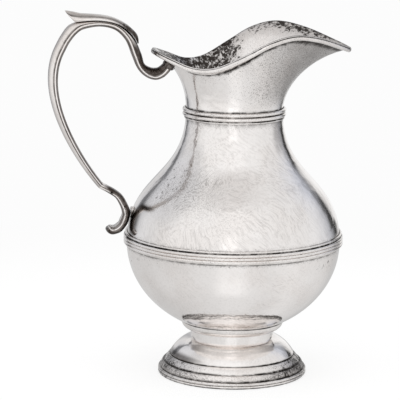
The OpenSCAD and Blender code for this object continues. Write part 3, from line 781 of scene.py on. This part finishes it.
# Leaf on the upper scroll: place along its path, underside, top and half width as shares of the strap
LEAF_SHARES = np.array([
    [5.55, 0.00, 0.64, 0.30], [5.90, 0.00, 0.86, 0.44], [6.40, 0.00, 0.74, 0.48], [7.00, 0.00, 0.62, 0.49],
    [7.60, 0.00, 0.70, 0.49], [8.20, 0.00, 0.82, 0.48], [8.70, 0.00, 1.04, 0.46], [9.00, 0.00, 1.26, 0.42],
    [9.30, 0.00, 1.74, 0.36], [9.46, 0.16, 2.06, 0.28], [9.55, 0.98, 2.20, 0.16],
])
# Half of the leaf's section: shares of the half width and of the height
LEAF_HALF = np.array([
    [0, 1], [0.16, 0.995], [0.32, 0.975], [0.46, 0.94], [0.58, 0.89], [0.68, 0.82], [0.75, 0.73], [0.79, 0.64],
    [0.79, 0.56], [0.80, 0.50], [0.86, 0.44], [0.94, 0.36], [0.99, 0.26], [1.0, 0.18], [0.97, 0.08], [0.90, 0],
    [0.45, 0], [0, 0],
])
# Path of the lower scroll, past its seat to the curled tip, with the same columns as the upper one
TAIL_SHARES = np.array([
    [1.00, 1.00, 0.36, 0.32, 0.44], [0.77, 0.885, 0.36, 0.30, 0.46], [0.51, 0.74, 0.37, 0.30, 0.47],
    [0.30, 0.58, 0.40, 0.34, 0.48], [0.125, 0.32, 0.43, 0.42, 0.48], [0.00, 0.00, 0.45, 0.46, 0.48],
    [0.045, -0.24, 0.45, 0.48, 0.48], [0.15, -0.45, 0.45, 0.48, 0.48], [0.31, -0.595, 0.47, 0.46, 0.50],
    [0.49, -0.655, 0.48, 0.44, 0.52], [0.635, -0.63, 0.44, 0.42, 0.52], [0.715, -0.52, 0.36, 0.36, 0.48],
])
TAIL_SEAT_ROW = 5


def scroll(start, shares, reach, rise):
    """A scroll's table in millimetres: place across and up, crown, depth and half width."""
    places = start + shares[:, :2] * [-reach, rise]
    return np.concatenate([places, shares[:, 2:] * [STRAP_T, STRAP_T, STRAP_W]], 1)


LUG_PLACE, LUG_T = np.array([LIP_SPANS / 2]), np.array([[0.71]])
LUG_SEAT, LUG_OUT = (v[0, 0] for v in mouth_points(LUG_PLACE, LUG_T))
KNUCKLE = (LUG_SEAT + LUG_OUT * (LUG_LEN + SOLDER))[[0, 2]]
ARCH = scroll(KNUCKLE, ARCH_SHARES, ARCH_REACH, ARCH_RISE)
PAD_X = -(float(body_r(TAIL_Z)) + PAD_T)
TAIL_SEAT = np.array([PAD_X - TAIL_SHARES[TAIL_SEAT_ROW, 2] * STRAP_T, TAIL_Z])
TAIL = scroll(TAIL_SEAT, TAIL_SHARES, TAIL_REACH, TAIL_RISE)
GRIP_FOOT = np.array([math.cos(GRIP_FOOT_ANGLE), -math.sin(GRIP_FOOT_ANGLE)])


def whole_section(half):
    """Both halves of a section, from a table of one with a point added in each span."""
    half = spline(half, np.linspace(0, len(half) - 1, 2 * len(half) - 1))
    return np.concatenate([half, half[-2:0:-1] * [-1, 1]])


STRAP = whole_section(STRAP_HALF)
STRAP_X, STRAP_Y = np.abs(STRAP[:, 0])[None], STRAP[:, 1][None]
# Marks on the strap's section: the groove beside the crown, the crown's side, painted shade on the inner face, and a
# darkening of the crown's roll towards its crest
GROOVE = 0.44 * bell(np.hypot(STRAP_X - 0.84, (STRAP_Y - 0.05) / 1.3), 0.16)
CROWN_SIDE = smooth(-0.02, 0.10, STRAP_Y)
INNER_FACE_SHADE = (1 - smooth(-0.60, -0.44, STRAP_Y)) * mix(0.5, 1.0, smooth(-0.99, -0.94, STRAP_Y))
CROWN_DARKENING = CROWN_SIDE * mix(0.05, 0.36, smooth(0.45, 1.0, STRAP_Y))


def scroll_places(table):
    last = len(table) - 1
    return np.linspace(0, last, last * PATH_PARTS + 1)


def strap_rings(path, way, side, crown, depth, half_w):
    """Sections of the strap along a path, with the crown on one side of it."""
    out = side * np.stack([way[:, 1], -way[:, 0]], 1)
    lift = STRAP_Y * np.where(STRAP_Y > 0, crown[:, None], depth[:, None])
    return np.stack([
        path[:, :1] + out[:, :1] * lift,
        side * STRAP[:, 0] * half_w[:, None],
        path[:, 1:] + out[:, 1:] * lift,
    ], -1)


def build_arch():
    s = scroll_places(ARCH)
    row = spline(ARCH, s)
    hook = (1 - smooth(5.2, 6.2, s))[:, None]
    piece("handle_arch", cast, strap_rings(row[:, :2], spline_way(ARCH, s), 1, *row[:, 2:].T), {
        "recess": GROOVE, "patina": 0.58 * hook * CROWN_SIDE, "speck": 0.15,
        "dull": np.maximum(0.97 * hook * CROWN_SIDE, 0.84 * INNER_FACE_SHADE + CROWN_DARKENING),
    })


def build_upper_lug():
    """The knuckle, from an oval on the neck to the end of the upper scroll."""
    a = np.linspace(0, 2 * math.pi, 44, endpoint=False)
    seat = np.stack([
        mouth_points(LUG_PLACE - 0.5 * math.sin(v), LUG_T + 0.085 * math.cos(v), -SOLDER)[0][0, 0] for v in a
    ])
    crown, depth, half_w = ARCH[0, 2:]
    way = spline_way(ARCH, np.zeros(1))[0]
    lift = np.where(np.cos(a) > 0, crown, depth) * np.cos(a)
    end = np.stack([KNUCKLE[0] + way[1] * lift, np.sin(a) * half_w, KNUCKLE[1] - way[0] * lift], 1)
    share = np.linspace(0, 1, 11)[:, None, None]
    rings = mix(seat[None], end[None], share)
    middle = rings.mean(1, keepdims=True)
    rings = middle + (rings - middle) * (1 + 0.12 * np.sin(math.pi * share))
    piece("upper_lug", cast, rings, {
        "recess": 1 - smooth(0, 0.2, share[..., 0]), "patina": 0.55, "speck": 0.2, "dull": 0.92,
    })


def build_leaf():
    leaf = spline(LEAF_SHARES, np.linspace(0, len(LEAF_SHARES) - 1, LEAF_STEPS))
    base, way = spline(ARCH, leaf[:, 0]), spline_way(ARCH, leaf[:, 0])
    low = (base[:, 2] + leaf[:, 1] * STRAP_T + SOLDER)[:, None]
    high = (leaf[:, 2] * STRAP_T + SOLDER)[:, None]
    section = whole_section(LEAF_HALF)
    x, y = np.abs(section[:, 0])[None], section[:, 1][None]
    lift = mix(low, high, y)
    rings = np.stack([
        base[:, :1] + way[:, 1:] * lift,
        section[:, 0] * leaf[:, 3:] * STRAP_W,
        base[:, 1:2] - way[:, :1] * lift,
    ], -1)
    step_line = 0.45 * bell(np.hypot(x - 0.79, y - 0.54), 0.10)
    foot_line = 0.245 * bell(np.hypot(x - 0.93, y), 0.08)
    end = 1 - smooth(6.3, 7.5, leaf[:, :1])
    # Painted shade on the leaf's roll, heaviest at its lower edge
    roll_shade = smooth(0.50, 0.60, y) * mix(0.72, 0.34, smooth(0.60, 0.95, y))
    piece("thumb_leaf", cast, rings, {
        "recess": np.maximum(step_line, foot_line), "patina": 0.62 * end, "speck": 0.12,
        "dull": np.maximum(0.95 * end, roll_shade),
    })


def build_grip():
    t = np.linspace(0, 1, GRIP_STEPS)[:, None]
    start, end = ARCH[-1, :2], TAIL[0, :2]
    top_way = spline_way(ARCH, np.array([len(ARCH) - 1.0]))[0]
    corners = [start, start + GRIP_PULL_TOP * top_way, end - GRIP_PULL_FOOT * GRIP_FOOT, end]
    sizes = mix(ARCH[-1, 2:], TAIL[0, 2:], t)
    low_end = smooth(0.8, 1.0, t)
    piece("handle_grip", cast, strap_rings(bezier(corners, t), unit(bezier_slope(corners, t)), 1, *sizes.T), {
        "recess": GROOVE, "speck": 0.06, "dull": 0.84 * INNER_FACE_SHADE + CROWN_DARKENING + 0.25 * low_end * CROWN_SIDE,
    })


def build_tail():
    """The lower scroll, slightly uneven, from the grip's end to a rounded tip."""
    s = scroll_places(TAIL)
    row, way = spline(TAIL, s), spline_way(TAIL, s)
    way[0] = GRIP_FOOT
    uneven = 1 + 0.025 * np.sin(s * 4.1 + 0.6) * smooth(0.3, 1.5, s)
    tip = 0.55
    end_round = np.sqrt(np.clip(1 - ((s - s[-1] + tip) / tip).clip(0, 1) ** 2, 0.02, 1))
    sizes = row[:, 2:] * (uneven * end_round)[:, None]
    sizes[0] = row[0, 2:]
    worn = smooth(0.2, 1.4, s)[:, None]
    # Painted shade on the tail's crown side and inner face; the patches are tarnish. Both grow along the tail from
    # its start.
    crown_shade = 0.97 * smooth(-0.04, 0.20, STRAP_Y)
    piece("handle_tail", cast, strap_rings(row[:, :2], way, -1, *sizes.T), {
        "recess": 0.7 * GROOVE, "patina": worn * mix(0.34, 0.55, CROWN_SIDE), "speck": 0.35,
        "dull": worn * np.maximum(crown_shade, 0.85 * INNER_FACE_SHADE),
    })


def build_lower_lug():
    """The round pad: a flat face towards the tail, a rounded edge, and a side that meets the body."""
    a = np.linspace(0, 2 * math.pi, 48, endpoint=False)
    y, z = np.sin(a), np.cos(a)
    steps = [(1.5, 0.0), (3.5, 0.0)]
    for v in np.linspace(0, math.pi / 2, 6):
        steps.append((PAD_R - PAD_ROUND * (1 - math.sin(v)), PAD_ROUND * (1 - math.cos(v))))
    rings = [np.stack([PAD_X + SOLDER + depth + 0 * a, r * y, TAIL_Z + r * z], 1) for r, depth in steps]
    seat_y, seat_z = PAD_R * y, TAIL_Z + PAD_R * z
    seat = np.stack([-np.sqrt((body_r(seat_z) + SOLDER) ** 2 - seat_y ** 2), seat_y, seat_z], 1)
    rings += [mix(rings[-1], seat, share) for share in (0.35, 0.7, 1.0)]
    along = np.linspace(0, 1, len(rings))[:, None]
    # The film is painted shade: the pad is darker below and lighter on top
    top = smooth(TAIL_Z, TAIL_Z + 3, np.array(rings)[..., 2])
    piece("lower_lug", cast, rings, {
        "recess": smooth(0.8, 1.0, along) * (1 - top), "patina": 0.3 * (1 - top), "speck": 0.2,
        "dull": mix(0.85, 0.2, top),
    })


# Studio and camera

WHITE = (0.975, 0.975, 0.975, 1)
OVERHEAD = (0.76, 0.75, 0.745, 1)
FILL = (0.36, 0.36, 0.36, 1)
PAPER, PAPER_GLOW = (0.32, 0.32, 0.32, 1), (0.80, 0.80, 0.80, 1)
FLOOR_R, FLOOR_Z = 3.0, -0.0003
LAMP_SIZE, LAMP_WATTS, LAMP_AT = 2.0, 14.0, (-0.1, -0.3, 1.7)
# The studio as polished metal sees it, by the bearing from the camera in degrees to the right: light, tint to blue
WALLS = [
    (-180, 0.80, 0), (-172, 0.45, 0.06), (-164, 0.72, 0), (-152, 0.66, 0.06), (-148, 0.20, 0.10), (-142, 0.16, 0.10),
    (-137, 0.52, 0.08), (-120, 0.76, 0.04), (-103, 0.76, 0.02), (-88, 0.80, 0), (-74, 0.91, 0), (-35, 0.94, 0),
    (-15, 0.97, 0), (-10, 1.13, 0), (3, 1.13, 0), (8, 0.96, 0), (27, 0.91, 0), (52, 0.87, 0), (80, 0.84, 0),
    (98, 0.84, 0.02), (114, 0.74, 0.06), (128, 0.52, 0.12), (135, 0.08, 0.04), (142, 0.04, 0), (146, 0.50, 0),
    (152, 0.84, 0), (162, 0.98, 0), (174, 0.86, 0), (180, 0.80, 0),
]
# Low down, the dark flag on the right stands a little further round
HORIZON = [(bearing + (4 if 130 < bearing < 150 else 0), light, blue) for bearing, light, blue in WALLS]
CEILING = [
    (-180, 0.78, 0), (-160, 0.80, 0), (-150, 0.72, 0.04), (-147, 0.22, 0.12), (-144, 0.22, 0.12), (-140, 0.66, 0.08),
    (-130, 0.74, 0.07), (-118, 0.74, 0.06), (-101, 0.71, 0.04), (-85, 0.74, 0.02), (-65, 0.93, 0), (-49, 0.95, 0),
    (-10, 1.0, 0), (12, 1.0, 0), (38, 0.92, 0), (71, 0.86, 0), (100, 0.83, 0.02), (120, 0.80, 0.09),
    (132, 0.66, 0.18), (138, 0.46, 0.18), (145, 0.52, 0.14), (151, 0.68, 0.06), (154, 0.44, 0.05), (158, 0.82, 0),
    (166, 0.95, 0), (180, 0.78, 0),
]
TABLE = [
    (-180, 0.60, 0), (-143, 0.64, 0), (-120, 0.65, 0), (-99, 0.65, 0), (-64, 0.72, 0), (-40, 0.76, 0),
    (-20, 0.79, 0), (-10, 0.83, 0), (5, 0.84, 0), (14, 0.82, 0), (35, 0.79, 0), (57, 0.84, 0), (75, 0.80, 0),
    (95, 0.75, 0), (112, 0.71, 0), (135, 0.58, 0), (180, 0.60, 0),
]
GLINT = [(-180, 0, 0), (-22, 0, 0), (-10, 0.11, 0), (5, 0.11, 0), (18, 0, 0), (180, 0, 0)]


def bearing_ramp(g, way, stops):
    """A colour by the bearing of a direction or place from the camera's side of the object."""
    turned_way = g.add("ShaderNodeVectorRotate", {"Vector": way, "Angle": YAW}, rotation_type="Z_AXIS").outputs[0]
    x, y, _ = g.add("ShaderNodeSeparateXYZ", {0: turned_way}).outputs
    bearing = g.math("ARCTAN2", x, g.times(y, -1.0))
    ramp = g.add("ShaderNodeValToRGB", {0: g.math("MULTIPLY_ADD", bearing, 0.5 / math.pi, 0.5)})
    elements = ramp.color_ramp.elements
    while len(elements) < len(stops):
        elements.new(0.5)
    for stop, (degrees, light, blue) in zip(elements, stops):
        stop.position = (degrees + 180) / 360
        stop.color = (light * (1 - 0.5 * blue), light * (1 - 0.25 * blue), light * (1 + 0.35 * blue), 1)
    return ramp.outputs[0]


def build_world():
    """White to the camera, the studio's walls in the metal, and an even fill for the rest."""
    world = bpy.data.worlds.new("studio")
    scene.world = world
    world.use_nodes = True
    g = Graph(world.node_tree)
    way = g.place("Generated")
    rise = g.add("ShaderNodeSeparateXYZ", {0: way}).outputs[2]
    walls = g.blend(g.step(rise, 0.20, 0.46), bearing_ramp(g, way, WALLS), bearing_ramp(g, way, CEILING))
    walls = g.blend(g.step(rise, 0.80, 0.96), walls, OVERHEAD)
    path = g.add("ShaderNodeLightPath", {}).outputs
    seen = g.blend(path["Is Glossy Ray"], FILL, walls)
    seen = g.blend(g.most(path["Is Camera Ray"], path["Is Transmission Ray"]), seen, WHITE)
    g.tree.links.new(seen, g.tree.nodes["Background"].inputs["Color"])


def build_lamp():
    lamp = bpy.data.lights.new("overhead_softbox", "AREA")
    lamp.shape, lamp.size, lamp.size_y, lamp.energy = "RECTANGLE", LAMP_SIZE, LAMP_SIZE, LAMP_WATTS
    softbox = bpy.data.objects.new("overhead_softbox", lamp)
    softbox.location = LAMP_AT
    softbox.visible_glossy = False
    scene.collection.objects.link(softbox)


def paper_material():
    """Lit paper that takes the shadow, going over to white further out, and the studio's floor in the metal, with a
    painted shadow round the foot and a painted highlight strip in front.
    """
    paper = bpy.data.materials.new("white_paper")
    paper.use_nodes = True
    g = Graph(paper.node_tree)
    g.tree.nodes.remove(g.tree.nodes["Principled BSDF"])
    where = g.place("Object")
    away = g.add("ShaderNodeVectorMath", {0: where}, operation="LENGTH").outputs["Value"]
    diffuse = g.add("ShaderNodeBsdfDiffuse", {"Color": PAPER}).outputs[0]
    lit_paper = g.add("ShaderNodeAddShader", {0: diffuse, 1: g.glow(PAPER_GLOW)}).outputs[0]
    to_camera = g.add("ShaderNodeMixShader", {0: g.step(away, 0.22, 0.55), 1: lit_paper, 2: g.glow(WHITE)}).outputs[0]

    table = g.blend(g.step(away, 0.4, 1.0), bearing_ramp(g, where, TABLE), bearing_ramp(g, where, HORIZON))
    # In the metal the floor glows a little darker close to the foot, a painted shadow, and the glint strip is a
    # painted highlight
    table = g.glow(table, g.step(away, 0.065, 0.15, 0.92, 1.0))
    strip = g.times(g.step(away, 0.095, 0.12), g.step(away, 0.15, 0.24, 1.0, 0.5))
    strip = g.glow(bearing_ramp(g, where, GLINT), strip)
    in_metal = g.add("ShaderNodeAddShader", {0: table, 1: strip}).outputs[0]

    in_glossy = g.add("ShaderNodeLightPath", {}).outputs["Is Glossy Ray"]
    shader = g.add("ShaderNodeMixShader", {0: in_glossy, 1: to_camera, 2: in_metal}).outputs[0]
    g.tree.links.new(shader, g.tree.nodes["Material Output"].inputs[0])
    return paper


def build_floor():
    mesh = bpy.data.meshes.new("floor")
    work = bmesh.new()
    bmesh.ops.create_circle(work, cap_ends=True, segments=96, radius=FLOOR_R)
    work.to_mesh(mesh)
    work.free()
    mesh.materials.append(paper_material())
    floor = bpy.data.objects.new("floor", mesh)
    floor.location = (0, 0, FLOOR_Z)
    scene.collection.objects.link(floor)


def build_camera():
    data = bpy.data.cameras.new("photo_camera")
    data.lens, data.sensor_width, data.clip_start = LENS, SENSOR_W, 0.01
    camera = bpy.data.objects.new("photo_camera", data)
    turn = Matrix.Rotation(-YAW, 4, "Z")
    place = Matrix.Translation([v * MM for v in CAMERA_AT])
    tilt = Matrix.Rotation(math.pi / 2 - PITCH, 4, "X")
    camera.matrix_world = turn @ place @ tilt @ Matrix.Rotation(ROLL, 4, "Z")
    scene.collection.objects.link(camera)
    scene.camera = camera


build_camera()
build_bowl()
build_shoulder()
build_belly_band()
build_neck_ring()
build_foot()
build_mouth()
rim_wire("rim_wire", 0.0, RIM_WIRE_H, RIM_WIRE_T, 15, 0.0)
# The fillet is darkened along its front as the painted shadow under the rim wire
rim_wire("rim_fillet", RIM_WIRE_H + SOLDER, RIM_FILLET_W, RIM_FILLET_W / 2, 9, 0.9)
build_arch()
build_upper_lug()
build_leaf()
build_grip()
build_tail()
build_lower_lug()
build_world()
build_lamp()
build_floor()
